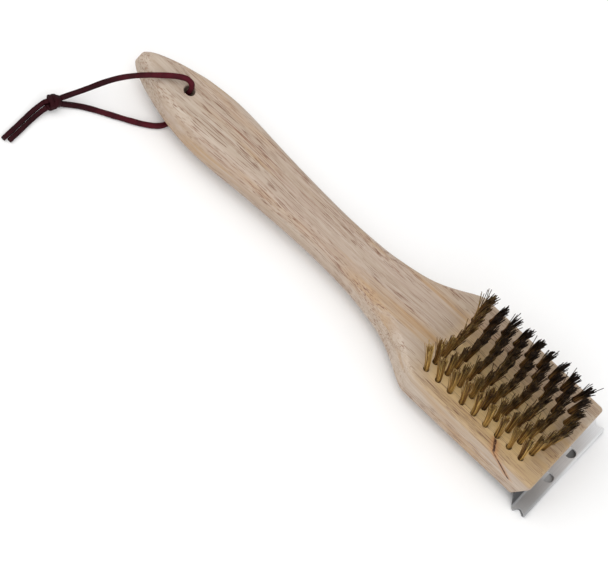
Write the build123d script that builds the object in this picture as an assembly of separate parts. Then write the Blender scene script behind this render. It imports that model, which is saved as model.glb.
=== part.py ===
from build123d import *

import os
from math import pi, radians, tan

# Grill cleaning brush: one wooden body (handle and head in one board), brass wire tufts in nine
# rows, a folded steel scraper screwed to the back of the head, and a leather hanging lace.
# Millimetres. X runs from the handle tip to the head, +Z is the bristle side. The brush lies on
# its back: z = 0 is the surface that the lowest leaf of the scraper rests on, and the origin is at
# the bottom centre of the brush without its lace. Pieces are drawn about the middle of the wood,
# and moved across by MID_Y as they are written.

# ---- driving dimensions: wooden body ----
WOOD_LENGTH = 305.0
WOOD_THICKNESS = 18.5
HEAD_LENGTH = 84.5
HEAD_WIDTH = 68.0
HEAD_EDGE_RADIUS = 2.0
END_FLAT_HEIGHT = 4.5  # upper part of the end face that stands square, above the bevel
END_BEVEL = 6.0  # how far the back of the end face is cut in
TIP_RADIUS = 1.9  # round the small end face of the handle
LACE_HOLE_RADIUS = 3.2
LACE_HOLE_FROM_TIP = 32.0
LACE_HOLE_CHAMFER = 0.6

# Cross-sections of the handle: distance from the tip, width, thickness, corner radius.
HANDLE_SECTIONS = [
    (0.0, 4.6, 7.0, 2.2),
    (1.6, 7.2, 10.6, 3.4),
    (4.6, 11.0, 14.6, 5.0),
    (9.5, 15.8, 17.4, 6.4),
    (15.6, 20.6, 18.4, 6.6),
    (22.0, 25.0, 18.5, 6.6),
    (31.0, 30.2, 18.5, 6.6),
    (42.0, 34.2, 18.5, 6.6),
    (56.0, 36.5, 18.5, 6.6),
    (73.0, 34.9, 18.5, 6.6),
    (94.0, 31.4, 18.5, 6.6),
    (116.0, 28.9, 18.5, 6.6),
    (137.0, 27.6, 18.5, 6.5),
    (157.0, 28.7, 18.5, 6.3),
    (172.0, 31.6, 18.5, 5.9),
    (184.0, 36.0, 18.5, 5.4),
    (194.0, 41.6, 18.5, 4.8),
    (203.0, 49.8, 18.5, 4.0),
    (210.0, 57.8, 18.5, 3.2),
    (215.5, 64.2, 18.5, 2.5),
    (WOOD_LENGTH - HEAD_LENGTH, HEAD_WIDTH, WOOD_THICKNESS, HEAD_EDGE_RADIUS),
]

# ---- driving dimensions: tufts ----
ROWS = 9
TUFTS_PER_ROW = 8
ROW_PITCH = 8.5
TUFT_PITCH = 7.1
LAST_ROW_FROM_END = 15.0  # at the two ends of the row
FIRST_ROW_BULGE = 2.9  # the middle of a row is this much nearer the end of the head than its ends
LAST_ROW_BULGE = 7.1
BULGE_POWER = 1.4
TUFT_HOLE_RADIUS = 1.8
TUFT_HOLE_DEPTH = 9.5
TUFT_CLEARANCE = 0.1
TUFT_HEIGHT = 18.5  # above the face of the head
TUFT_TIP_RADIUS = 2.4
# How far the tips are bent along X. Negative is towards the handle, at the -Y end of each row.
FIRST_ROW_LEAN = -6.3
LAST_ROW_LEAN = -2.3
LEAN_FADE_ACROSS_ROWS = 0.7
FAR_LEAN = 1.0  # at the +Y end of each row
LAST_ROW_FAR_LEAN = 3.0
NEAR_LEAN_FADE = 2.5
FAR_LEAN_GROWTH = 0.5
ANCHOR_LENGTH = 5.2
ANCHOR_THICKNESS = 0.6
ANCHOR_HEIGHT = 2.0

# ---- driving dimensions: scraper ----
SHEET = 0.9
FLANGE_LENGTH = 24.0
FLANGE_WIDTH = 62.0
FLARE_WIDTH = 68.4  # just before the flange turns down
FLARE_START = 9.0  # measured back from the end of the wood
FOLD_DROP = 5.7  # from the back of the wood down to the top of the band at its inner fold
BAND_RISE = 1.8  # how much the band climbs towards its outer edge
BAND_REACH = 7.9  # outer edge of the band, past the end of the wood
LEAF_LENGTH = 6.2
LEAF_GAP = 0.6  # between the band's outer edge and the leaf that is hemmed back under it
FLANGE_BEND_INSET = 4.6  # where the flange turns down, measured back from the end of the wood
FOLD_INSET = 0.6
BEND_RADII = [1.2, 1.0, 0.9, 0.9]
# The fishtail at each end: distance past the end of the wood, half width, corner radius.
PRONG = (0.8, 38.8, 0.8)
NOTCH = (3.0, 34.7, 1.4)
OUTER_PRONG = (6.6, 36.9, 0.6)
PRONG_ROOT = (-0.8, 37.4)
SCRAPER_HOLE_RADIUS = 3.2
SCRAPER_HOLE_SPACING = 20.8
SCRAPER_HOLE_OFFSET = 1.2  # the pair sits slightly off the middle of the scraper
SCRAPER_SHIFT = 2.6  # the scraper is fixed a little off the middle of the head, towards +Y
SCRAPER_HOLE_FROM_WOOD = 2.9
SCRAPER_HOLE_ROUND = 0.2  # on the upper rim of each hole

# ---- driving dimensions: screws ----
SCREW_SPACING = 40.0
SCREW_FROM_END = 18.0
SCREW_SHANK_RADIUS = 1.7
SCREW_SHANK_LENGTH = 9.0
SCREW_HEAD_RADIUS = 3.4
SCREW_HEAD_HEIGHT = 2.2
SCREW_HEAD_ROUND = 1.0
SCREW_SLOT = 0.8
SCREW_CLEARANCE = 0.05
FLANGE_HOLE_CLEARANCE = 0.3

# ---- driving dimensions: lace ----
LACE_DIAMETER = 2.8

# ---- places worked out from the above ----
REST_GAP = FOLD_DROP - BAND_RISE + 3 * SHEET + LEAF_GAP  # scraper underside to back of the wood
BACK_Z = REST_GAP
FACE_Z = BACK_Z + WOOD_THICKNESS
TIP_X = -(WOOD_LENGTH + BAND_REACH) / 2
END_X = TIP_X + WOOD_LENGTH
HEAD_X = END_X - HEAD_LENGTH
MID_Z = BACK_Z + WOOD_THICKNESS / 2
MID_Y = -SCRAPER_SHIFT  # the middle of the wood, because the wider scraper is centred on y = 0
HOLE_X = TIP_X + LACE_HOLE_FROM_TIP
LAST_ROW_X = END_X - LAST_ROW_FROM_END

# The lace, seen from the handle tip: X from the tip, Y, and height above the resting surface.
# Both strands start half way down the hole and end in the knot.
UPPER_STRAND = [
    (32.0, 0.0, MID_Z),
    (32.3, 0.3, 21.4),
    (32.0, 0.5, 25.6),
    (31.6, 0.9, 28.3),
    (29.9, 1.2, 30.4),
    (26.6, 0.8, 31.2),
    (21.6, -1.9, 30.0),
    (15.4, -7.4, 28.7),
    (8.2, -13.9, 26.4),
    (1.4, -19.7, 20.8),
    (-3.6, -25.6, 14.9),
    (-7.5, -32.2, 9.7),
    (-11.4, -39.3, 6.7),
    (-14.5, -46.0, 5.8),
]
LOWER_STRAND = [
    (32.0, 0.0, MID_Z),
    (31.7, -0.3, 2 * MID_Z - 21.4),
    (32.0, -0.4, 8.0),
    (32.6, -1.0, 5.0),
    (33.6, -2.6, 2.9),
    (34.8, -5.4, 1.7),
    (35.0, -9.7, 1.5),
    (32.2, -14.5, 1.5),
    (26.2, -19.6, 1.5),
    (17.9, -24.9, 1.6),
    (8.5, -30.4, 1.5),
    (-0.3, -35.6, 1.5),
    (-7.0, -40.7, 1.6),
    (-12.8, -46.7, 2.5),
]
KNOT_CENTRE = (-16.4, -50.7, 4.3)
KNOT_RADIUS = 4.3
KNOT_LENGTH = 10.0
LONG_TAIL = [
    (-19.3, -53.8, 3.7),
    (-20.3, -59.4, 2.1),
    (-20.7, -66.5, 1.5),
    (-20.9, -76.1, 1.6),
    (-21.4, -85.8, 1.5),
]
SHORT_TAIL = [
    (-16.3, -54.9, 3.5),
    (-17.3, -60.2, 2.0),
    (-17.7, -67.3, 1.5),
    (-17.9, -75.9, 1.6),
    (-18.3, -83.9, 1.5),
]


def rounded_section(from_tip, width, thickness, radius):
    plane = Plane(origin=(TIP_X + from_tip, 0, MID_Z), x_dir=(0, 1, 0), z_dir=(1, 0, 0))
    return plane * RectangleRounded(width, thickness, radius)


def handle_blank():
    blank = loft([rounded_section(*section) for section in HANDLE_SECTIONS])
    tip_face = blank.faces().sort_by(Axis.X)[0]
    return fillet(tip_face.edges(), TIP_RADIUS)


def head_blank():
    """The head: a board with a square upper end edge and a bevel below it."""
    side = Plane.XZ * Polygon(
        (HEAD_X, BACK_Z),
        (END_X - END_BEVEL, BACK_Z),
        (END_X, FACE_Z - END_FLAT_HEIGHT),
        (END_X, FACE_Z),
        (HEAD_X, FACE_Z),
        align=None,
    )
    block = extrude(side, amount=HEAD_WIDTH / 2, both=True)
    long_edges = block.edges().filter_by(Axis.X)
    end_edges = block.edges().filter_by(lambda e: e.center().X > END_X - END_BEVEL - 0.1)
    return fillet(long_edges + end_edges, HEAD_EDGE_RADIUS)


def tuft_places(row):
    """Where each tuft of a row leaves the face, and how far its tip leans along X."""
    share = row / (ROWS - 1)
    end_x = LAST_ROW_X - (ROWS - 1 - row) * ROW_PITCH
    half = TUFT_PITCH * (TUFTS_PER_ROW - 1) / 2
    bulge = FIRST_ROW_BULGE + (LAST_ROW_BULGE - FIRST_ROW_BULGE) * share
    near_lean = FIRST_ROW_LEAN + (LAST_ROW_LEAN - FIRST_ROW_LEAN) * share**LEAN_FADE_ACROSS_ROWS
    far_lean = LAST_ROW_FAR_LEAN if row == ROWS - 1 else FAR_LEAN
    places = []
    for column in range(TUFTS_PER_ROW):
        along = column / (TUFTS_PER_ROW - 1)
        y = half * (2 * along - 1)
        x = end_x + bulge * (1 - abs(2 * along - 1) ** BULGE_POWER)
        lean = near_lean * (1 - along) ** NEAR_LEAN_FADE + far_lean * along**FAR_LEAN_GROWTH
        places.append((x, y, lean))
    return places


def tuft(x, y, lean):
    """One folded bundle of wire: a round plug in its hole that fans out above the face."""
    floor_z = FACE_Z - TUFT_HOLE_DEPTH + ANCHOR_HEIGHT
    radius = TUFT_HOLE_RADIUS - TUFT_CLEARANCE
    plug = Pos(x, y, floor_z) * Cylinder(
        radius, FACE_Z - floor_z, align=(Align.CENTER, Align.CENTER, Align.MIN)
    )
    root = Plane(origin=(x, y, FACE_Z)) * Circle(radius)
    tip = Plane(origin=(x + lean, y, FACE_Z + TUFT_HEIGHT)) * Circle(TUFT_TIP_RADIUS)
    return plug + loft([root, tip])


def anchor(x, y):
    """The flat piece of wire that is driven across the bottom of a hole to hold its tuft."""
    return Pos(x, y, FACE_Z - TUFT_HOLE_DEPTH) * Box(
        ANCHOR_THICKNESS,
        ANCHOR_LENGTH,
        ANCHOR_HEIGHT,
        align=(Align.CENTER, Align.CENTER, Align.MIN),
    )


def screw_places():
    return [(END_X - SCREW_FROM_END, side * SCREW_SPACING / 2) for side in (-1, 1)]


def screw(x, y, extra=0.0):
    """A pan-head wood screw, driven up through the flange into the back of the head."""
    under_head = BACK_Z - SHEET
    shank = Pos(x, y, under_head) * Cylinder(
        SCREW_SHANK_RADIUS + extra,
        SCREW_SHANK_LENGTH + extra,
        align=(Align.CENTER, Align.CENTER, Align.MIN),
    )
    if extra:
        return shank
    head = Pos(x, y, under_head) * Cylinder(
        SCREW_HEAD_RADIUS, SCREW_HEAD_HEIGHT, align=(Align.CENTER, Align.CENTER, Align.MAX)
    )
    head = fillet(head.edges().group_by(Axis.Z)[0], SCREW_HEAD_ROUND)
    slot = Pos(x, y, under_head - SCREW_HEAD_HEIGHT) * Box(
        2 * SCREW_HEAD_RADIUS, SCREW_SLOT, SCREW_SLOT, align=(Align.CENTER, Align.CENTER, Align.MIN)
    )
    return shank + head - slot


def wooden_body():
    body = handle_blank() + head_blank()
    lace_hole = Pos(HOLE_X, 0, MID_Z) * Cylinder(LACE_HOLE_RADIUS, WOOD_THICKNESS + 2)
    rim = LACE_HOLE_RADIUS + LACE_HOLE_CHAMFER
    for z, low, high in ((FACE_Z, LACE_HOLE_RADIUS, rim), (BACK_Z, rim, LACE_HOLE_RADIUS)):
        start = z if z == BACK_Z else z - LACE_HOLE_CHAMFER
        lace_hole += Pos(HOLE_X, 0, start) * Cone(
            low, high, LACE_HOLE_CHAMFER, align=(Align.CENTER, Align.CENTER, Align.MIN)
        )
    tools = [lace_hole]
    for row in range(ROWS):
        for x, y, _ in tuft_places(row):
            tools.append(
                Pos(x, y, FACE_Z - TUFT_HOLE_DEPTH)
                * Cylinder(
                    TUFT_HOLE_RADIUS,
                    TUFT_HOLE_DEPTH + 1,
                    align=(Align.CENTER, Align.CENTER, Align.MIN),
                )
            )
            tools.append(anchor(x, y))
    for x, y in screw_places():
        tools.append(screw(x, y, SCREW_CLEARANCE))
    return body - tools


def scraper_profile():
    """Side view of the folded sheet, as its middle line, from the flange to the hemmed leaf."""
    half = SHEET / 2
    fold_x = END_X - FOLD_INSET
    fold_z = BACK_Z - FOLD_DROP - half
    outer_z = BACK_Z - FOLD_DROP + BAND_RISE - half
    outer_x = END_X + BAND_REACH - half
    return FilletPolyline(
        (END_X - END_BEVEL - FLANGE_LENGTH, 0, BACK_Z - half),
        (END_X - FLANGE_BEND_INSET, 0, BACK_Z - half),
        (fold_x, 0, fold_z),
        (outer_x, 0, outer_z),
        (outer_x, 0, half),
        (outer_x - LEAF_LENGTH, 0, half),
        radius=BEND_RADII,
    )


def scraper_outline():
    """Plan of the scraper: a flange narrower than the head, then wings that end in a fishtail."""
    flange_end = (END_X - END_BEVEL - FLANGE_LENGTH - 1, FLANGE_WIDTH / 2)
    flare_start = (END_X - FLARE_START, FLANGE_WIDTH / 2)
    flare_end = (END_X - FLANGE_BEND_INSET, FLARE_WIDTH / 2)
    fishtail = [(END_X + x, half_width) for x, half_width, _ in (PRONG, NOTCH, OUTER_PRONG)]
    root = (END_X + PRONG_ROOT[0], PRONG_ROOT[1])
    outer = (END_X + BAND_REACH + 1, OUTER_PRONG[1])
    side = [flange_end, flare_start, flare_end, root, *fishtail, outer]
    outline = side + [(x, -y) for x, y in reversed(side)]
    points = [(x, y + SCRAPER_SHIFT) for x, y in outline]
    plate = extrude(Polygon(*points, align=None), amount=FACE_Z, dir=(0, 0, 1))
    for x, _, radius in (NOTCH, PRONG, OUTER_PRONG):
        upright = plate.edges().filter_by(Axis.Z)
        corners = [edge for edge in upright if abs(edge.center().X - END_X - x) < 0.1]
        plate = fillet(corners, radius)
    return plate


def upper_hole_rims(blade):
    """The edges round the two holes on the upper side of the band."""
    slope = BAND_RISE / (BAND_REACH + FOLD_INSET)
    rims = []
    for edge in blade.edges():
        x, y, z = edge.center()
        from_pair = abs(abs(y - SCRAPER_SHIFT - SCRAPER_HOLE_OFFSET) - SCRAPER_HOLE_SPACING / 2)
        near_hole = max(from_pair, abs(x - END_X - SCRAPER_HOLE_FROM_WOOD)) < SCRAPER_HOLE_RADIUS + 0.1
        band_top = BACK_Z - FOLD_DROP + slope * (x - END_X + FOLD_INSET)
        if near_hole and z > band_top - SHEET / 2 and edge.geom_type != GeomType.LINE:
            rims.append(edge)
    return rims


def scraper_blade():
    line = scraper_profile()
    section = make_face(offset(line, amount=SHEET / 2, side=Side.BOTH, kind=Kind.INTERSECTION))
    sheet = extrude(section, amount=HEAD_WIDTH, dir=(0, 1, 0), both=True)
    blade = sheet & scraper_outline()
    for side in (-1, 1):
        y = SCRAPER_SHIFT + SCRAPER_HOLE_OFFSET + side * SCRAPER_HOLE_SPACING / 2
        blade -= Pos(END_X + SCRAPER_HOLE_FROM_WOOD, y, BACK_Z) * Cylinder(
            SCRAPER_HOLE_RADIUS, 2 * (REST_GAP - SHEET - LEAF_GAP / 2)
        )
    blade = fillet(upper_hole_rims(blade), SCRAPER_HOLE_ROUND)
    for x, y in screw_places():
        hole_radius = SCREW_SHANK_RADIUS + FLANGE_HOLE_CLEARANCE
        blade -= Pos(x, y, BACK_Z) * Cylinder(hole_radius, 4 * SHEET)
    return blade


def from_tip(point):
    x, y, z = point
    return (TIP_X + x, y, z)


def corner_radii(points):
    """The largest arcs that the runs beside each corner allow."""
    radii = []
    for before, here, after in zip(points, points[1:], points[2:]):
        run_in = Vector(here) - Vector(before)
        run_out = Vector(after) - Vector(here)
        turn = run_in.get_angle(run_out)
        radii.append(0.45 * min(run_in.length, run_out.length) / tan(radians(turn / 2)))
    return radii


def lace_tube(name, route):
    points = [from_tip(p) for p in route]
    radii = corner_radii(points)
    path = FilletPolyline(*points, radius=radii)
    section = Plane(origin=path @ 0, z_dir=path % 0) * Circle(LACE_DIAMETER / 2)
    tube = sweep(section, path=path)
    expected = pi * LACE_DIAMETER**2 / 4 * path.length
    print(
        f"{name}: length {path.length:.1f} mm, smallest radius {min(radii):.2f} mm,"
        f" volume {tube.volume:.1f} of {expected:.1f} mm3"
    )
    print("   radii", [round(r, 1) for r in radii])
    return tube


def lace_knot(strands):
    centre = from_tip(KNOT_CENTRE)
    direction = Vector(*from_tip(LONG_TAIL[0])) - Vector(*from_tip(UPPER_STRAND[-1]))
    direction = Vector(direction.X, direction.Y, 0).normalized()
    knot = Plane(origin=centre, z_dir=direction) * Cylinder(KNOT_RADIUS, KNOT_LENGTH)
    knot = fillet(knot.edges(), KNOT_RADIUS * 0.5)
    return knot - strands


def write(name, shape):
    placed = Pos(0, MID_Y, 0) * shape
    placed.label = name
    export_step(placed, f"parts/{name}.step")


def main():
    os.makedirs("parts", exist_ok=True)
    write("wooden_body", wooden_body())
    for row in range(ROWS):
        places = tuft_places(row)
        tufts = [tuft(x, y, lean) for x, y, lean in places]
        anchors = [anchor(x, y) for x, y, _ in places]
        write(f"bristle_row_{row + 1}", Compound(children=tufts))
        write(f"tuft_anchors_row_{row + 1}", Compound(children=anchors))
    write("scraper_blade", scraper_blade())
    write("scraper_screws", Compound(children=[screw(x, y) for x, y in screw_places()]))
    tubes = {
        "lace_upper_strand": lace_tube("lace_upper_strand", UPPER_STRAND),
        "lace_lower_strand": lace_tube("lace_lower_strand", LOWER_STRAND),
        "lace_long_tail": lace_tube("lace_long_tail", LONG_TAIL),
        "lace_short_tail": lace_tube("lace_short_tail", SHORT_TAIL),
    }
    for name, tube in tubes.items():
        write(name, tube)
    write("lace_knot", lace_knot(list(tubes.values())))


main()
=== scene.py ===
"""Grill cleaning brush: the looks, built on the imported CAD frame. Metres throughout.

X runs from the handle tip to the head, +Z is the bristle side, and the brush lies on its back.
"""

import random
from math import cos, pi, radians, sin, sqrt

import bpy
from mathutils import Matrix, Vector


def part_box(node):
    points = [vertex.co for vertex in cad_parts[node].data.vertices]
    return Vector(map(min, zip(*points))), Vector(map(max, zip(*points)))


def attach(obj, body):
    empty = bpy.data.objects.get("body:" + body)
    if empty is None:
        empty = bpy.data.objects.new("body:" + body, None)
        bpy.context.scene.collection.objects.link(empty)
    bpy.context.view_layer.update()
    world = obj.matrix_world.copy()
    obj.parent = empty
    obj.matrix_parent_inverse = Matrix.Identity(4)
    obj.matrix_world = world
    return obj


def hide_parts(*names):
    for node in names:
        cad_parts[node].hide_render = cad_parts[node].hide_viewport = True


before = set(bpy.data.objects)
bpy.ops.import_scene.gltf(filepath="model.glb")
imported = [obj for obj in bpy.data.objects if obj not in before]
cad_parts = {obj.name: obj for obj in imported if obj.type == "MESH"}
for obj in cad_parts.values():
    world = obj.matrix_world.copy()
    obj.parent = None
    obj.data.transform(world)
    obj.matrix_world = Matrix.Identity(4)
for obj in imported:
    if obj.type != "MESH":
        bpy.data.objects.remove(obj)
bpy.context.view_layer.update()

MM = 0.001
BODY = "root"
ALONG = Vector((1, 0, 0))
UP = Vector((0, 0, 1))

# ---- places taken from the frame ----
WOOD_LOW, WOOD_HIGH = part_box("wooden_body")
TIP_X = WOOD_LOW[0]
END_X = WOOD_HIGH[0]
MID_Y = (WOOD_LOW[1] + WOOD_HIGH[1]) / 2
HALF_HEAD = (WOOD_HIGH[1] - WOOD_LOW[1]) / 2
WOOD_THICKNESS = 18.5 * MM
MID_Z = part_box("lace_lower_strand")[1][2]  # this strand starts half way down the lace hole
FACE_Z = MID_Z + WOOD_THICKNESS / 2

# ---- camera ----
CAMERA_TILT = radians(33)  # away from straight above, towards the -Y side
CAMERA_ROLL = radians(43.4)  # the brush points this far below the picture's horizontal
CAMERA_DISTANCE = 8.0
CAMERA_LENS = 906.0
CAMERA_CLIP_END = 20.0
CAMERA_TARGET = Vector((-0.0114, MID_Y - 0.0388, 0.0257))

# ---- lace ----
LACE_WIDTH = 2.8 * MM
STRIP_WIDTH = LACE_WIDTH * 0.96
STRIP_THICKNESS = LACE_WIDTH * 0.86
STRIP_CORNER = LACE_WIDTH * 0.2
CORNER_STEPS = 3  # points round each corner of the strip's section
POINTS_PER_SPAN = 10  # along each span of a route
EDGE_WAVES = 6  # the strip's edges are cut a little unevenly
EDGE_WAVE_RATES = (10, 80)  # radians over the strip's length, slowest and fastest
EDGE_WAVE_SIZE = 0.012
# Routes: X is measured from the handle tip, Y from the middle of the wood.
UPPER_ROUTE = [
    (0.0320, 0.0000, 0.01645),
    (0.0323, 0.0003, 0.0214),
    (0.0320, 0.0005, 0.0256),
    (0.0316, 0.0009, 0.0283),
    (0.0299, 0.0012, 0.0304),
    (0.0266, 0.0008, 0.0312),
    (0.0216, -0.0019, 0.0300),
    (0.0154, -0.0074, 0.0287),
    (0.0082, -0.0139, 0.0264),
    (0.0014, -0.0197, 0.0208),
    (-0.0036, -0.0256, 0.0149),
    (-0.0075, -0.0322, 0.0097),
    (-0.0114, -0.0393, 0.0067),
    (-0.0145, -0.0460, 0.0058),
]
LOWER_ROUTE = [
    (0.0320, 0.0000, 0.01645),
    (0.0317, -0.0003, 0.0115),
    (0.0320, -0.0004, 0.0080),
    (0.0326, -0.0010, 0.0050),
    (0.0336, -0.0026, 0.0029),
    (0.0348, -0.0054, 0.0017),
    (0.0350, -0.0097, 0.0015),
    (0.0322, -0.0145, 0.0015),
    (0.0262, -0.0196, 0.0015),
    (0.0179, -0.0249, 0.0016),
    (0.0085, -0.0304, 0.0015),
    (-0.0003, -0.0356, 0.0015),
    (-0.0070, -0.0407, 0.0016),
    (-0.0128, -0.0467, 0.0025),
]
LONG_TAIL = [
    (-0.0193, -0.0538, 0.0037),
    (-0.0203, -0.0594, 0.0021),
    (-0.0207, -0.0665, 0.0015),
    (-0.0209, -0.0761, 0.0016),
    (-0.0214, -0.0858, 0.0015),
]
SHORT_TAIL = [
    (-0.0163, -0.0549, 0.0035),
    (-0.0173, -0.0602, 0.0020),
    (-0.0177, -0.0673, 0.0015),
    (-0.0179, -0.0759, 0.0016),
    (-0.0183, -0.0839, 0.0015),
]

# ---- knot ----
KNOT_CENTRE = Vector((TIP_X - 0.0164, MID_Y - 0.0507, 0.0046))
WRAP_THICKNESS = LACE_WIDTH * 0.66  # the lace is squeezed flat where it is pulled tight
# Each wrap: start along the knot's axis, turns, radius, pitch, lift, width, phase.
KNOT_WRAPS = [
    (-3.5 * MM, 1.35, 2.95 * MM, 1.6 * MM, 0.5 * MM, LACE_WIDTH * 0.95, 0.4),
    (-0.9 * MM, 1.30, 3.10 * MM, 1.7 * MM, 0.5 * MM, LACE_WIDTH * 0.95, 2.3),
    (-2.6 * MM, 0.62, 3.55 * MM, 8.2 * MM, 0.2 * MM, LACE_WIDTH * 0.90, 1.1),
]
WRAP_STEPS_PER_TURN = 22
WRAP_DUCK_SHARE = 0.10  # the part of a wrap, at each end, in which it ducks inside
WRAP_INNER_RADIUS = 0.45  # where it ends, as a share of its radius
WRAP_LUMPS = 3  # to a turn
WRAP_LUMP_SIZE = 0.05
WRAP_LUMP_PHASE = 1.3
WRAP_FLATTENING = 0.94  # height of the knot against its width
WRAP_TWIST = 0.42  # radians that the strip rocks from side to side
WRAP_TWIST_RATE = 9  # radians over the wrap's length
UPPER_CORE_LIFT = 0.6 * MM  # how far the strands inside the knot bow up or down
LOWER_CORE_LIFT = -0.5 * MM

# ---- leather ----
LEATHER_BLACK = (0.003, 0.0010, 0.0013)
LEATHER_WINE = (0.015, 0.0021, 0.0034)
LEATHER_WORN = (0.088, 0.0075, 0.0150)

# ---- wood ----
WOOD_PINK = (0.432, 0.330, 0.262)
WOOD_PALE = (0.478, 0.388, 0.308)
WOOD_CREAM = (0.510, 0.432, 0.358)
BROWN_STREAK = (0.330, 0.235, 0.162)
LIGHT_STREAK = (0.575, 0.500, 0.420)
ORANGE_STREAK = (0.430, 0.262, 0.118)
# painted bounce light from the brass: a yellow cast over the head's face
HEAD_PAINTED_BOUNCE = (0.440, 0.292, 0.128)
# painted light on the face among the tufts, lifting their shade, at -Y and at +Y
TUFT_BED_PAINTED_LIGHT_NEAR = (0.90, 0.64, 0.29)
TUFT_BED_PAINTED_LIGHT_FAR = (0.80, 0.57, 0.38)
PORE_BROWN = (0.190, 0.098, 0.060)
LINE_BROWN = (0.280, 0.150, 0.098)
CRACK_STAIN = (0.420, 0.200, 0.080)
CRACK_BROWN = (0.055, 0.018, 0.007)
GRAIN_WANDER = 10 * MM  # how far the slow wander moves the grain lines

# ---- crack: its line runs from beside the tufts over the -Y edge and down the side ----
CRACK_START_Y = -26.0 * MM
CRACK_DROP = 8.5 * MM
CRACK_START_X = END_X - 31.8 * MM
CRACK_EDGE_X = END_X - 27.6 * MM
CRACK_END_X = END_X - 13.0 * MM
CRACK_WANDER = 3.0 * MM

# ---- tufts: where they stand and how they lean, as the CAD tufts do ----
ROWS = 9
TUFTS_PER_ROW = 8
ROW_PITCH = 8.5 * MM
TUFT_PITCH = 7.1 * MM
LAST_ROW_FROM_END = 15.0 * MM
FIRST_ROW_BULGE = 2.9 * MM
LAST_ROW_BULGE = 7.1 * MM
BULGE_POWER = 1.4
TUFT_HEIGHT = 18.5 * MM
FIRST_ROW_LEAN = -6.3 * MM
LAST_ROW_LEAN = -2.3 * MM
LEAN_FADE_ACROSS_ROWS = 0.7
FAR_LEAN = 1.0 * MM
LAST_ROW_FAR_LEAN = 3.0 * MM
NEAR_LEAN_FADE = 2.5

# ---- wires ----
BRISTLE_SEED = 1000
WIRES_PER_TUFT = 46
WIRE_RADIUS = 0.20 * MM
WIRE_SIDES = 4
WIRE_STEPS = 5
WIRE_HEIGHTS = (0.88, 1.03)  # shortest and tallest, as shares of the tuft's height
TUFT_ROOT_RADIUS = 1.5 * MM
TUFT_PLUG_DEPTH = 2.0 * MM
TIP_SPREAD = 0.85 * MM  # of the outermost wires of a tuft
TIP_SPREAD_SCATTER = 0.35 * MM
TIP_SCATTER_X = 0.40 * MM
TIP_SCATTER_Y = 0.45 * MM
LEAN_SCATTER = (0.88, 1.12)
BEND_POWERS = (1.0, 1.5)  # 1 is straight, and more puts the bend nearer the tip
RIPPLE = 0.13 * MM
RIPPLE_RATE = 7  # radians over the wire's length

# ---- stray wires: they stand out of their tuft, mostly in the first row and at the rows' ends ----
STRAY_CHANCE = 0.05
OUTER_STRAY_CHANCE = 0.12  # in the first row, and in the end tufts of the others
STRAY_X = (-3.4 * MM, 2.2 * MM)
STRAY_Y = (-2.0 * MM, 2.6 * MM)
STRAY_HEIGHTS = (0.95, 1.06)
# The far end of the first row has the longest strays.
LONG_STRAY_FROM = 0.8  # share along the row
LONG_STRAY_X = (-6.0 * MM, -2.0 * MM)
LONG_STRAY_Y = (0.0, 2.5 * MM)
LONG_STRAY_HEIGHT = 1.08

# ---- brass ----
BRASS_BROWN = (0.070, 0.024, 0.007)
BRASS_DARK = (0.230, 0.110, 0.026)
BRASS_GOLD = (0.370, 0.205, 0.048)
BRASS_BRIGHT = (0.720, 0.490, 0.165)
# wires darken to this: painted shade towards the tips, and darker at the roots
WIRE_DARKENING_BLACK = (0.010, 0.005, 0.004)
MEAN_TONE = 0.52  # of the wires, on the scale from brown, 0, to bright, 1
TONE_SCATTER = 0.26
TUFT_TONE_SCATTER = 0.12
NEAR_TONE_GAIN = 0.12  # the -Y end of each row is brighter
# Painted shade darkens each wire from a share of its length, lower towards +Y, and is full a little
# above that.
TIP_SHADE_START = 0.62
FIRST_ROW_TIP_SHADE_START = 0.72
TIP_SHADE_START_DROP = 0.34
TIP_SHADE_START_FADE = 0.7
TIP_SHADE_START_SCATTER = 0.10
TIP_SHADE_RISE = 0.42
NEAR_TIP_SHADE = 0.62
FAR_TIP_SHADE_GAIN = 0.38
FIRST_ROW_TIP_SHADE_LOSS = 0.2
ROOT_DARKENING = 0.30
ROOT_DARKENING_SHARE = 0.14  # the darkening at the root reaches this far up the wire

# ---- steel ----
STEEL_LOW = (0.68, 0.68, 0.685)
STEEL_HIGH = (0.83, 0.83, 0.835)
STEEL_CLOUD = (0.90, 0.90, 0.91)
# painted reflection on the scraper: the sheet is dimmer towards -Y
STEEL_PAINTED_REFLECTION_DIM = (0.270, 0.272, 0.276)
# painted shadow on the riser under the wood and on the leaf below the band
STEEL_PAINTED_SHADOW = (0.055, 0.056, 0.058)
SCREW_STEEL = (0.55, 0.55, 0.56)
ANCHOR_STEEL = (0.42, 0.41, 0.40)
TARNISH = 0.6  # how bright the tarnished patches are, against the clean metal

# ---- studio ----
FLOOR_HALF_WIDTH = 3.0
WORLD_STRENGTH = 0.78


# ======================================================================================
# Shared mesh and node helpers
# ======================================================================================


def link(obj):
    bpy.context.scene.collection.objects.link(obj)
    return obj


def mesh_object(name, verts, faces, smooth=True):
    mesh = bpy.data.meshes.new(name)
    mesh.from_pydata(verts, [], faces)
    mesh.polygons.foreach_set("use_smooth", [smooth] * len(mesh.polygons))
    mesh.update()
    return link(bpy.data.objects.new(name, mesh))


def frames_along(points, up):
    """A tangent, a side and an up direction at each point, turned as little as possible."""
    frames = []
    for index, point in enumerate(points):
        before = points[max(index - 1, 0)]
        after = points[min(index + 1, len(points) - 1)]
        tangent = (after - before).normalized()
        up = (up - tangent * up.dot(tangent)).normalized()
        frames.append((tangent, tangent.cross(up), up))
    return frames


def rounded_strip_section(width, thickness, corner):
    """The outline of a strip of leather, across and up from its middle, as one ring."""
    ring = []
    for turn, (sx, sy) in enumerate(((1, 1), (-1, 1), (-1, -1), (1, -1))):
        for step in range(CORNER_STEPS):
            angle = pi / 2 * (turn + step / (CORNER_STEPS - 1))
            x = sx * (width / 2 - corner) + corner * cos(angle)
            y = sy * (thickness / 2 - corner) + corner * sin(angle)
            ring.append((x, y))
    return ring


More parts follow.
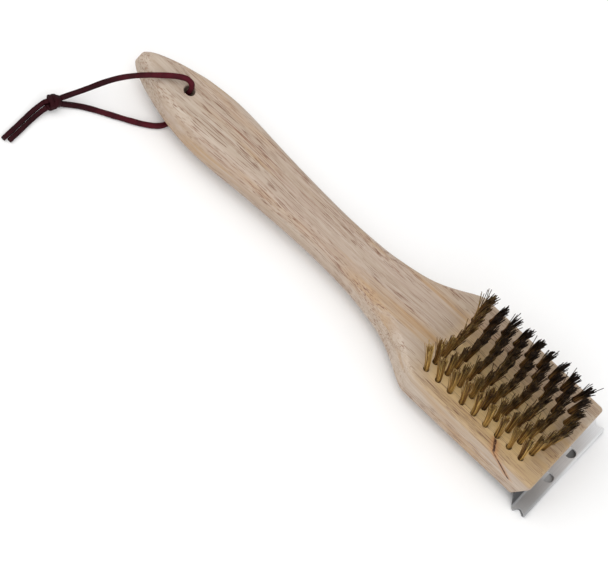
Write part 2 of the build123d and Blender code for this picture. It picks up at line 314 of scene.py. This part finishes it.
def sweep_ring(points, frames, ring, scale=lambda share: 1.0, twist=lambda share: 0.0):
    """Vertices and faces of a ring swept along points, closed at both ends."""
    verts = []
    faces = []
    count = len(ring)
    for index, (point, (_, side, up)) in enumerate(zip(points, frames)):
        share = index / (len(points) - 1)
        turn = twist(share)
        size = scale(share)
        for x, y in ring:
            across = (x * cos(turn) - y * sin(turn)) * size
            above = (x * sin(turn) + y * cos(turn)) * size
            verts.append(point + side * across + up * above)
        if index:
            low = (index - 1) * count
            for k in range(count):
                after = (k + 1) % count
                faces.append((low + k, low + after, low + count + after, low + count + k))
    last = (len(points) - 1) * count
    faces.append(tuple(reversed(range(count))))
    faces.append(tuple(range(last, last + count)))
    return verts, faces


class Nodes:
    """Short calls for building one material's node tree."""

    def __init__(self, name):
        self.material = bpy.data.materials.new(name)
        self.material.use_nodes = True
        self.tree = self.material.node_tree
        self.shader = self.tree.nodes["Principled BSDF"]
        self.place = self.add("ShaderNodeTexCoord").outputs["Object"]

    def add(self, kind, **settings):
        node = self.tree.nodes.new(kind)
        for key, value in settings.items():
            setattr(node, key, value)
        return node

    def join(self, source, target):
        """Link another node's output to an input, or set the input to a number."""
        if isinstance(source, bpy.types.NodeSocket):
            self.tree.links.new(source, target)
        else:
            target.default_value = source

    def math(self, operation, a, b=0.0, clamp=False):
        node = self.add("ShaderNodeMath", operation=operation, use_clamp=clamp)
        self.join(a, node.inputs[0])
        self.join(b, node.inputs[1])
        return node.outputs[0]

    def stretch(self, scale, place=None, offset=(0, 0, 0)):
        """The place, scaled along each axis and moved."""
        node = self.add("ShaderNodeMapping")
        self.tree.links.new(place or self.place, node.inputs["Vector"])
        node.inputs["Scale"].default_value = scale
        node.inputs["Location"].default_value = offset
        return node.outputs[0]

    def noise(self, scale, place=None, detail=3.0, roughness=0.55, offset=(0, 0, 0)):
        node = self.add("ShaderNodeTexNoise")
        self.tree.links.new(self.stretch(scale, place, offset), node.inputs["Vector"])
        node.inputs["Scale"].default_value = 1.0
        node.inputs["Detail"].default_value = detail
        node.inputs["Roughness"].default_value = roughness
        return node.outputs["Fac"]

    def ramp(self, value, *stops):
        """stops are (position, colour) pairs; a number stands for a grey."""
        node = self.add("ShaderNodeValToRGB")
        self.tree.links.new(value, node.inputs[0])
        elements = node.color_ramp.elements
        while len(elements) < len(stops):
            elements.new(0.5)
        for element, (position, colour) in zip(elements, stops):
            element.position = position
            if isinstance(colour, (int, float)):
                colour = (colour, colour, colour)
            element.color = (*colour, 1)
        return node.outputs[0]

    def band(self, value, low, high, to_low=0.0, to_high=1.0):
        """value from low..high to to_low..to_high, held at the ends, with a soft start and end."""
        return self.map_range(value, (low, high, to_low, to_high), "SMOOTHSTEP")

    def map_range(self, value, limits, interpolation="LINEAR"):
        """value from limits[0]..limits[1] to limits[2]..limits[3], held at the ends."""
        node = self.add("ShaderNodeMapRange", interpolation_type=interpolation)
        self.join(value, node.inputs["Value"])
        for socket, number in zip(("From Min", "From Max", "To Min", "To Max"), limits):
            node.inputs[socket].default_value = number
        return node.outputs[0]

    def mix(self, factor, a, b):
        """From a to b, each a colour or another node's output."""
        node = self.add("ShaderNodeMix", data_type="RGBA")
        self.join(factor, node.inputs[0])
        for colour, socket in ((a, node.inputs[6]), (b, node.inputs[7])):
            if isinstance(colour, tuple):
                socket.default_value = (*colour, 1)
            else:
                self.tree.links.new(colour, socket)
        return node.outputs[2]

    def split(self):
        """The X, Y and Z of the place being shaded."""
        node = self.add("ShaderNodeSeparateXYZ")
        self.tree.links.new(self.place, node.inputs[0])
        return node.outputs

    def bump(self, height, strength, distance):
        node = self.add("ShaderNodeBump")
        node.inputs["Strength"].default_value = strength
        node.inputs["Distance"].default_value = distance
        self.tree.links.new(height, node.inputs["Height"])
        self.tree.links.new(node.outputs[0], self.shader.inputs["Normal"])

    def colour(self, source):
        self.tree.links.new(source, self.shader.inputs["Base Color"])

    def rough(self, source):
        self.tree.links.new(source, self.shader.inputs["Roughness"])

    def set(self, **values):
        for socket, value in values.items():
            self.shader.inputs[socket.replace("_", " ")].default_value = value
        return self.material


def paint(obj, material):
    """One material on every slot of a piece, or of a CAD node's object."""
    if not obj.material_slots:
        obj.data.materials.append(material)
    for slot in obj.material_slots:
        slot.link = "OBJECT"
        slot.material = material


# ======================================================================================
# Camera
# ======================================================================================


def add_camera():
    across = Vector((0, cos(CAMERA_TILT), sin(CAMERA_TILT)))
    right = ALONG * cos(CAMERA_ROLL) + across * sin(CAMERA_ROLL)
    up = across * cos(CAMERA_ROLL) - ALONG * sin(CAMERA_ROLL)
    back = right.cross(up)
    data = bpy.data.cameras.new("camera")
    data.lens = CAMERA_LENS
    data.clip_end = CAMERA_CLIP_END
    camera = link(bpy.data.objects.new("camera", data))
    turn = Matrix((right, up, back)).transposed().to_4x4()
    camera.matrix_world = Matrix.Translation(CAMERA_TARGET + back * CAMERA_DISTANCE) @ turn
    bpy.context.scene.camera = camera


# ======================================================================================
# Lace
# ======================================================================================


def leather():
    n = Nodes("burgundy_leather")
    mottled = n.noise((420, 420, 420), detail=4)
    patches = n.noise((110, 110, 110), detail=2, offset=(0.3, 0.1, 0.7))
    tone = n.ramp(mottled, (0.3, LEATHER_BLACK), (0.7, LEATHER_WINE))
    # The part by the hole is worn to a redder, lighter wine; the knot end is nearly black.
    x, _, _ = n.split()
    worn = n.band(x, TIP_X - 8 * MM, TIP_X + 14 * MM, 0.22, 0.80)
    worn = n.math("MULTIPLY", worn, n.band(patches, 0.30, 0.66, 0.45, 1.0))
    n.colour(n.mix(worn, tone, LEATHER_WORN))
    n.rough(n.band(mottled, 0.3, 0.7, 0.58, 0.78))
    grain = n.noise((1900, 1900, 1900), detail=2)
    n.bump(n.mix(0.35, grain, mottled), 0.55, 0.00022)
    return n.set(Specular_IOR_Level=0.10)


def from_tip(place):
    return Vector((TIP_X + place[0], MID_Y + place[1], place[2]))


def route_points(name, route):
    """Points along the route's own NURBS spline."""
    curve = bpy.data.curves.new(name, "CURVE")
    curve.dimensions = "3D"
    spline = curve.splines.new("NURBS")
    spline.points.add(len(route) - 1)
    for control, place in zip(spline.points, route):
        control.co = (*from_tip(place), 1)
    spline.order_u = 3
    spline.use_endpoint_u = True
    spline.resolution_u = POINTS_PER_SPAN
    guide = bpy.data.objects.new(name, curve)
    mesh = bpy.data.meshes.new_from_object(guide)
    points = [v.co.copy() for v in mesh.vertices]
    bpy.data.objects.remove(guide)
    bpy.data.curves.remove(curve)
    bpy.data.meshes.remove(mesh)
    return points


def lace_strip(name, route, up, material, seed):
    """A strip of leather with slightly uneven cut edges, along a route."""
    points = route_points(name + "_route", route)
    rng = random.Random(seed)
    waves = [(rng.uniform(*EDGE_WAVE_RATES), rng.uniform(0, 2 * pi)) for _ in range(EDGE_WAVES)]

    def scale(share):
        return 1 + EDGE_WAVE_SIZE * sum(sin(rate * share + phase) for rate, phase in waves)

    ring = rounded_strip_section(STRIP_WIDTH, STRIP_THICKNESS, STRIP_CORNER)
    verts, faces = sweep_ring(points, frames_along(points, up), ring, scale)
    obj = mesh_object(name, verts, faces)
    for cut_end in obj.data.polygons[-2:]:
        cut_end.use_smooth = False
    paint(obj, material)
    return obj, points


def knot_axis():
    """The knot's direction, from the two strands to the two tails."""
    tail_side = from_tip(LONG_TAIL[0]) + from_tip(SHORT_TAIL[0])
    strand_side = from_tip(UPPER_ROUTE[-1]) + from_tip(LOWER_ROUTE[-1])
    return (tail_side - strand_side).normalized()


def knot_wrap(start, turns, radius, pitch, lift, width, phase):
    """A strip that winds round the knot's axis and ducks inside at both ends."""
    axis = knot_axis()
    side = axis.cross(UP).normalized()
    above = side.cross(axis)
    points = []
    steps = int(turns * WRAP_STEPS_PER_TURN)
    for step in range(steps + 1):
        share = step / steps
        angle = phase + 2 * pi * turns * share
        duck = min(1.0, share / WRAP_DUCK_SHARE, (1 - share) / WRAP_DUCK_SHARE)
        reach = WRAP_INNER_RADIUS + (1 - WRAP_INNER_RADIUS) * sin(duck * pi / 2)
        lumps = 1 + WRAP_LUMP_SIZE * sin(WRAP_LUMPS * angle + WRAP_LUMP_PHASE)
        out = radius * reach * lumps
        along = start + pitch * turns * share + lift * sin(angle)
        sideways = side * (out * cos(angle))
        upwards = above * (out * WRAP_FLATTENING * sin(angle))
        points.append(KNOT_CENTRE + axis * along + sideways + upwards)
    frames = []
    for index, point in enumerate(points):
        tangent = (points[min(index + 1, steps)] - points[max(index - 1, 0)]).normalized()
        outward = point - KNOT_CENTRE
        outward = (outward - axis * outward.dot(axis)).normalized()
        outward = (outward - tangent * outward.dot(tangent)).normalized()
        frames.append((tangent, tangent.cross(outward), outward))

    def twist(share):
        return WRAP_TWIST * sin(WRAP_TWIST_RATE * share + phase)

    ring = rounded_strip_section(width, WRAP_THICKNESS, STRIP_CORNER)
    return sweep_ring(points, frames, ring, twist=twist)


def knot_core(strand, tail, lift):
    """The stretch of lace inside the knot, bowed a little, that joins a strand to its tail."""
    start = from_tip(strand[-1])
    end = from_tip(tail[0])
    middle = (start + end) / 2 + UP * lift
    core = [start, start.lerp(middle, 0.6), middle, end.lerp(middle, 0.4), end]
    ring = rounded_strip_section(STRIP_WIDTH, STRIP_THICKNESS, STRIP_CORNER)
    return sweep_ring(core, frames_along(core, UP), ring)


def add_knot(material):
    """An overhand knot pulled tight in both strands: two turns side by side and one across them."""
    parts = [knot_wrap(*wrap) for wrap in KNOT_WRAPS]
    parts.append(knot_core(UPPER_ROUTE, LONG_TAIL, UPPER_CORE_LIFT))
    parts.append(knot_core(LOWER_ROUTE, SHORT_TAIL, LOWER_CORE_LIFT))
    verts = []
    faces = []
    for part_verts, part_faces in parts:
        base = len(verts)
        verts.extend(part_verts)
        faces.extend(tuple(i + base for i in face) for face in part_faces)
    knot = mesh_object("leather_knot", verts, faces)
    paint(knot, material)
    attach(knot, BODY)
    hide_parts("lace_knot")
    return knot


def add_lace():
    """The knot, both tails and both strands, each attached to the body in place of its CAD node."""
    material = leather()
    knot = add_knot(material)
    long_tail, _ = lace_strip("leather_tail_long", LONG_TAIL, UP, material, seed=3)
    short_tail, _ = lace_strip("leather_tail_short", SHORT_TAIL, UP, material, seed=4)
    for tail, node in ((long_tail, "lace_long_tail"), (short_tail, "lace_short_tail")):
        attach(tail, BODY)
        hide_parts(node)
    upper, upper_path = lace_strip("leather_strand_upper", UPPER_ROUTE, ALONG, material, seed=1)
    lower, lower_path = lace_strip("leather_strand_lower", LOWER_ROUTE, ALONG, material, seed=2)
    for strand, node in ((upper, "lace_upper_strand"), (lower, "lace_lower_strand")):
        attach(strand, BODY)
        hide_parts(node)


# ======================================================================================
# Wood
# ======================================================================================


def wood():
    """Pale rubberwood: soft pink and cream streaks, fine dark pores along the grain."""
    n = Nodes("pale_rubberwood")
    x, y, z = n.split()
    y = n.math("SUBTRACT", y, MID_Y)
    grain = wandering_grain(n)
    streaks = n.noise((7, 240, 240), grain, detail=4, roughness=0.62, offset=(0.2, 0.4, 0.1))
    fine = n.noise((22, 900, 900), grain, detail=3, roughness=0.6, offset=(0.7, 0.1, 0.9))
    pores, lines = wood_pores(n, grain)
    crack, stain = wood_crack(n, x, y, z)

    colour = streaked_wood(n, grain, streaks, fine)
    # painted bounce light from the brass over the head and among the tufts
    colour = head_painted_light(n, colour, x, y, z)
    colour = n.mix(pores, colour, PORE_BROWN)
    colour = n.mix(lines, colour, LINE_BROWN)
    colour = n.mix(stain, colour, CRACK_STAIN)
    n.colour(n.mix(crack, colour, CRACK_BROWN))

    n.rough(n.band(streaks, 0.3, 0.7, 0.50, 0.64))
    height = n.math("SUBTRACT", n.math("MULTIPLY", fine, 0.35), n.math("MULTIPLY", pores, 0.9))
    height = n.math("SUBTRACT", height, n.math("MULTIPLY", lines, 0.4))
    n.bump(n.math("SUBTRACT", height, crack), 0.30, 0.00035)
    return n.set(Specular_IOR_Level=0.38)


def wandering_grain(n):
    """The place, moved by a slow noise, so that the grain lines aren't dead straight."""
    wander = n.add("ShaderNodeTexNoise")
    n.tree.links.new(n.stretch((9, 22, 22)), wander.inputs["Vector"])
    wander.inputs["Scale"].default_value = 1.0
    wander.inputs["Detail"].default_value = 1.0
    shift = n.add("ShaderNodeVectorMath", operation="MULTIPLY_ADD")
    n.tree.links.new(wander.outputs["Color"], shift.inputs[0])
    shift.inputs[1].default_value = (0.0, GRAIN_WANDER, GRAIN_WANDER)
    n.tree.links.new(n.place, shift.inputs[2])
    return shift.outputs[0]


def streaked_wood(n, grain, streaks, fine):
    """Broad pink and cream bands, brown and light streaks, and a few orange ones."""
    broad = n.noise((5, 48, 48), grain, detail=2)
    colour = n.ramp(broad, (0.28, WOOD_PINK), (0.50, WOOD_PALE), (0.74, WOOD_CREAM))
    colour = n.mix(n.band(streaks, 0.36, 0.68, 0.0, 0.55), colour, BROWN_STREAK)
    colour = n.mix(n.band(fine, 0.42, 0.72, 0.0, 0.36), colour, LIGHT_STREAK)
    warm = n.noise((12, 75, 75), grain, detail=2, offset=(0.5, 0.8, 0.3))
    warm = n.math("MULTIPLY", n.band(warm, 0.46, 0.74, 0.0, 0.8), n.band(streaks, 0.3, 0.62))
    return n.mix(warm, colour, ORANGE_STREAK)


def head_painted_light(n, colour, x, y, z):
    """Painted bounce light from the brass: a yellow cast over the face of the head, stronger towards -Y,
    and a warmer, lighter bed among the tufts that lifts their shade.
    """
    # painted bounce light from the brass over the head's face
    head_bounce = n.math(
        "MULTIPLY",
        n.band(x, END_X - 103.5 * MM, END_X - 63.5 * MM),
        n.band(y, -30 * MM, 28 * MM, 0.72, 0.22),
    )
    head_bounce = n.math("MULTIPLY", head_bounce, n.band(z, FACE_Z - 4 * MM, FACE_Z))
    colour = n.mix(head_bounce, colour, HEAD_PAINTED_BOUNCE)
    # painted light on the face among the tufts
    bed_light = n.math(
        "MULTIPLY",
        n.band(x, END_X - 90 * MM, END_X - 74 * MM),
        n.band(x, END_X - 18 * MM, END_X - 8 * MM, 1.0, 0.0),
    )
    bed_light = n.math("MULTIPLY", bed_light, n.band(n.math("ABSOLUTE", y), 19 * MM, 32 * MM, 0.75, 0.0))
    bed_light = n.math("MULTIPLY", bed_light, n.band(z, FACE_Z - 1 * MM, FACE_Z - 0.2 * MM))
    return n.mix(bed_light, colour, n.mix(n.band(y, -5 * MM, 24 * MM), TUFT_BED_PAINTED_LIGHT_NEAR, TUFT_BED_PAINTED_LIGHT_FAR))


def wood_pores(n, grain):
    """Open pores: short dark dashes along the grain, and longer, fainter lines, in clusters."""
    dashes = n.noise((95, 2300, 2300), grain, detail=1, roughness=0.4)
    cluster = n.noise((12, 110, 110), grain, detail=2, offset=(0.9, 0.2, 0.4))
    pores = n.math("MULTIPLY", n.band(dashes, 0.57, 0.65), n.band(cluster, 0.36, 0.60, 0.10, 0.95))
    lines = n.noise((14, 1500, 1500), grain, detail=2, roughness=0.5, offset=(0.4, 0.6, 0.2))
    lines = n.math("MULTIPLY", n.band(lines, 0.54, 0.66), n.band(cluster, 0.42, 0.64, 0.1, 0.6))
    return pores, lines


def wood_crack(n, x, y, z):
    """A small check in the wood, and the stain round it."""
    unrolled = n.math("ADD", y, n.math("SUBTRACT", z, FACE_Z))  # carries on down the side face
    edge = -HALF_HEAD
    end = edge - CRACK_DROP
    on_face = n.map_range(unrolled, (CRACK_START_Y, edge, CRACK_START_X, CRACK_EDGE_X))
    on_side = n.map_range(unrolled, (edge, end, 0.0, CRACK_END_X - CRACK_EDGE_X))
    wobble = n.noise((260, 260, 260), detail=3)
    line = n.math("ADD", on_face, on_side)
    line = n.math("ADD", line, n.math("MULTIPLY", n.math("SUBTRACT", wobble, 0.5), CRACK_WANDER))
    away = n.math("ABSOLUTE", n.math("SUBTRACT", x, line))
    inside = n.math(
        "MULTIPLY",
        n.band(unrolled, end - 1 * MM, end),
        n.band(unrolled, CRACK_START_Y, CRACK_START_Y - 1.5 * MM, 0.0, 1.0),
    )
    crack = n.math("MULTIPLY", n.band(away, 0.45 * MM, 1.30 * MM, 1.0, 0.0), inside)
    crack = n.math("MULTIPLY", crack, n.band(wobble, 0.38, 0.50, 0.60, 1.0))
    stain = n.math("MULTIPLY", n.band(away, 0.4 * MM, 5.0 * MM, 0.75, 0.0), inside)
    return crack, stain


# ======================================================================================
# Bristles
# ======================================================================================

def brass():
    """Brass wire: golden at the root, darkened by painted shade towards the tips."""
    n = Nodes("brass_wire")
    tone = n.add("ShaderNodeAttribute", attribute_name="wire_tone").outputs["Fac"]
    # darkening of the wires: painted shade towards the tips, and darker at the roots
    wire_darkening = n.add("ShaderNodeAttribute", attribute_name="wire_darkening").outputs["Fac"]
    clean = n.ramp(tone, (0.0, BRASS_BROWN), (0.35, BRASS_DARK), (0.65, BRASS_GOLD), (1.0, BRASS_BRIGHT))
    speckle = n.noise((700, 700, 700), detail=2)
    wire_darkening = n.math("ADD", wire_darkening, n.math("MULTIPLY", n.math("SUBTRACT", speckle, 0.5), 0.5), clamp=True)
    n.colour(n.mix(wire_darkening, clean, WIRE_DARKENING_BLACK))
    n.rough(n.band(wire_darkening, 0.0, 1.0, 0.42, 0.70))
    return n.set(Metallic=0.45, Specular_IOR_Level=0.35)


def tuft_roots(row):
    """Where each tuft of a row leaves the face, how far it leans, and its share along the row."""
    share = row / (ROWS - 1)
    end_x = END_X - LAST_ROW_FROM_END - (ROWS - 1 - row) * ROW_PITCH
    half = TUFT_PITCH * (TUFTS_PER_ROW - 1) / 2
    bulge = FIRST_ROW_BULGE + (LAST_ROW_BULGE - FIRST_ROW_BULGE) * share
    near_lean = FIRST_ROW_LEAN + (LAST_ROW_LEAN - FIRST_ROW_LEAN) * share**LEAN_FADE_ACROSS_ROWS
    far_lean = LAST_ROW_FAR_LEAN if row == ROWS - 1 else FAR_LEAN
    for column in range(TUFTS_PER_ROW):
        along = column / (TUFTS_PER_ROW - 1)
        y = MID_Y + half * (2 * along - 1)
        x = end_x + bulge * (1 - abs(2 * along - 1) ** BULGE_POWER)
        lean = near_lean * (1 - along) ** NEAR_LEAN_FADE + far_lean * sqrt(along)
        yield Vector((x, y, FACE_Z)), lean, along


def level_step(turn, distance):
    """A step on the level, in the direction of an angle."""
    return Vector((cos(turn), sin(turn), 0)) * distance


def stray_chance(row, along):
    return OUTER_STRAY_CHANCE if along in (0, 1) or row == 0 else STRAY_CHANCE


def wire_points(rng, root, lean, along, row):
    """The middle line of one wire, from inside its hole to its tip."""
    turn = rng.uniform(0, 2 * pi)
    out = sqrt(rng.random())
    foot = root + level_step(turn, out * TUFT_ROOT_RADIUS)
    height = TUFT_HEIGHT * rng.uniform(*WIRE_HEIGHTS)
    stray = rng.random() < stray_chance(row, along)
    tip = level_step(turn, TIP_SPREAD * out + rng.gauss(0, TIP_SPREAD_SCATTER))
    tip += Vector((rng.gauss(0, TIP_SCATTER_X), rng.gauss(0, TIP_SCATTER_Y), 0))
    if stray:
        tip += Vector((rng.uniform(*STRAY_X), rng.uniform(*STRAY_Y), 0))
        height *= rng.uniform(*STRAY_HEIGHTS)
        if row == 0 and along > LONG_STRAY_FROM:
            tip += Vector((rng.uniform(*LONG_STRAY_X), rng.uniform(*LONG_STRAY_Y), 0))
            height *= LONG_STRAY_HEIGHT
    tip.x += lean * rng.uniform(*LEAN_SCATTER)
    bend = rng.uniform(*BEND_POWERS)
    wave = rng.uniform(0, 2 * pi)
    points = [foot - UP * TUFT_PLUG_DEPTH]
    for step in range(WIRE_STEPS + 1):
        share = step / WIRE_STEPS
        ripple = RIPPLE * sin(wave + RIPPLE_RATE * share) * share
        sideways = tip * share**bend + level_step(wave, ripple)
        points.append(foot + sideways + UP * (height * share))
    return points


def wire_ring():
    turns = [2 * pi * side / WIRE_SIDES for side in range(WIRE_SIDES)]
    return [(WIRE_RADIUS * cos(turn), WIRE_RADIUS * sin(turn)) for turn in turns]


def darkening_along_wire(row, along, start_shift):
    """How dark a wire is at each of its points, from inside its hole to its tip: painted shade towards
    the tip, and a little darker at the root.
    """
    start = TIP_SHADE_START if row else FIRST_ROW_TIP_SHADE_START
    start += start_shift - TIP_SHADE_START_DROP * along**TIP_SHADE_START_FADE
    most = NEAR_TIP_SHADE + FAR_TIP_SHADE_GAIN * sqrt(along) - (0.0 if row else FIRST_ROW_TIP_SHADE_LOSS)
    wire_darkenings = []
    for point in range(WIRE_STEPS + 2):
        share = max(0.0, (point - 1) / WIRE_STEPS)
        # painted shade, rising towards the tip
        dark = min(1.0, max(0.0, (share - start) / TIP_SHADE_RISE)) * most
        root_darkening = ROOT_DARKENING * max(0.0, 1 - share / ROOT_DARKENING_SHARE)
        wire_darkenings.append(min(1.0, dark + root_darkening))
    return wire_darkenings


def add_bristle_row(row, material):
    """One row of tufts as one mesh, with the tone of each wire and its darkening, painted shade towards
    the tip, as attributes.
    """
    rng = random.Random(BRISTLE_SEED + row)
    ring = wire_ring()
    verts = []
    faces = []
    tones = []
    wire_darkenings = []
    for root, lean, along in tuft_roots(row):
        tuft_tone = rng.uniform(-TUFT_TONE_SCATTER, TUFT_TONE_SCATTER)
        for _ in range(WIRES_PER_TUFT):
            points = wire_points(rng, root, lean, along, row)
            wire_verts, wire_faces = sweep_ring(points, frames_along(points, ALONG), ring)
            del wire_faces[-2]  # the end that is hidden inside the hole
            base = len(verts)
            verts.extend(wire_verts)
            faces.extend(tuple(i + base for i in face) for face in wire_faces)
            tone = rng.gauss(MEAN_TONE, TONE_SCATTER) + tuft_tone + NEAR_TONE_GAIN * (1 - 2 * along)
            tones.extend([min(1.0, max(0.0, tone))] * len(wire_verts))
            for wire_darkening in darkening_along_wire(row, along, rng.gauss(0, TIP_SHADE_START_SCATTER)):
                wire_darkenings.extend([wire_darkening] * WIRE_SIDES)
    obj = mesh_object(f"brass_tufts_{row + 1}", verts, faces)
    for name, values in (("wire_tone", tones), ("wire_darkening", wire_darkenings)):
        obj.data.attributes.new(name, "FLOAT", "POINT").data.foreach_set("value", values)
    paint(obj, material)
    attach(obj, BODY)
    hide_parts(f"bristle_row_{row + 1}")


def add_bristles():
    material = brass()
    for row in range(ROWS):
        add_bristle_row(row, material)


# ======================================================================================
# Metal parts that keep their CAD shape
# ======================================================================================


def stainless():
    """Satin stainless sheet with its grain along Y."""
    n = Nodes("brushed_stainless")
    x, y, z = n.split()
    lines = n.noise((2600, 60, 2600), detail=3, roughness=0.6)
    cloud = n.noise((60, 45, 60), detail=2)
    steel = n.ramp(lines, (0.3, STEEL_LOW), (0.7, STEEL_HIGH))
    steel = n.mix(n.band(cloud, 0.3, 0.7, 0.0, 0.3), steel, STEEL_CLOUD)
    # Painted reflection: brighter towards +Y. Painted shadow: the riser under the wood and the leaf
    # below the band are darkened, the leaf most towards +Y.
    steel = n.mix(n.band(y, -36 * MM, 16 * MM, 0.80, 0.0), steel, STEEL_PAINTED_REFLECTION_DIM)
    # painted shadow on the riser and on the leaf seen through the band's holes
    riser_shadow = n.band(x, END_X - 1.6 * MM, END_X - 0.9 * MM, 0.90, 0.0)
    leaf_shadow = n.band(z, 0.9 * MM, 1.3 * MM, 1.0, 0.0)
    leaf_shadow = n.math("MULTIPLY", leaf_shadow, n.band(y, -6 * MM, 10 * MM, 0.30, 0.85))
    steel = n.mix(n.math("MAXIMUM", riser_shadow, leaf_shadow), steel, STEEL_PAINTED_SHADOW)
    n.colour(steel)
    n.rough(n.band(lines, 0.3, 0.7, 0.42, 0.56))
    n.bump(lines, 0.12, 0.0001)
    return n.set(Metallic=0.45)


def plated(name, colour, grain):
    """Plain bright steel with fine turning or drawing marks and a little tarnish."""
    n = Nodes(name)
    marks = n.noise(grain, detail=2)
    patches = n.noise((300, 300, 300), detail=3)
    dark = tuple(part * TARNISH for part in colour)
    n.colour(n.mix(n.band(patches, 0.4, 0.7, 0.0, 0.8), colour, dark))
    n.rough(n.band(marks, 0.3, 0.7, 0.26, 0.44))
    n.bump(marks, 0.15, 0.0001)
    return n.set(Metallic=1.0)


def paint_cad_parts():
    """The CAD nodes that keep their shape get their materials."""
    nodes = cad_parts
    paint(nodes["wooden_body"], wood())
    paint(nodes["scraper_blade"], stainless())
    paint(nodes["scraper_screws"], plated("screw_steel", SCREW_STEEL, grain=(900, 900, 3000)))
    anchor = plated("anchor_steel", ANCHOR_STEEL, grain=(600, 2500, 2500))
    for row in range(ROWS):
        paint(nodes[f"tuft_anchors_row_{row + 1}"], anchor)


# ======================================================================================
# Floor, backdrop and light
# ======================================================================================


def add_floor():
    half = FLOOR_HALF_WIDTH
    corners = [(-half, -half, 0), (half, -half, 0), (half, half, 0), (-half, half, 0)]
    floor = mesh_object("floor", corners, [(0, 1, 2, 3)], smooth=False)
    n = Nodes("pale_floor")
    n.colour(n.ramp(n.noise((6, 6, 6)), (0.3, 0.94), (0.7, 0.96)))
    paint(floor, n.set(Roughness=0.9))


def add_light(name, place, size, energy, colour):
    """A soft square lamp that points at the origin."""
    data = bpy.data.lights.new(name, "AREA")
    data.size = size
    data.energy = energy
    data.color = colour
    lamp = link(bpy.data.objects.new(name, data))
    lamp.location = place
    lamp.rotation_mode = "QUATERNION"
    lamp.rotation_quaternion = (-Vector(place)).to_track_quat("-Z", "Y")
    lamp.visible_camera = False


def add_studio():
    world = bpy.data.worlds.new("studio")
    world.use_nodes = True
    background = world.node_tree.nodes["Background"]
    background.inputs["Color"].default_value = (1, 1, 1, 1)
    background.inputs["Strength"].default_value = WORLD_STRENGTH
    bpy.context.scene.world = world
    add_light("key", place=(-0.55, -0.35, 1.1), size=1.1, energy=7.2, colour=(1.0, 0.99, 0.975))
    add_light("fill", place=(0.8, -0.9, 0.8), size=1.2, energy=3.4, colour=(0.97, 0.985, 1.0))
    bpy.context.scene.view_settings.view_transform = "Standard"
    bpy.context.scene.view_settings.look = "None"


add_camera()
add_lace()
add_bristles()
paint_cad_parts()
add_floor()
add_studio()
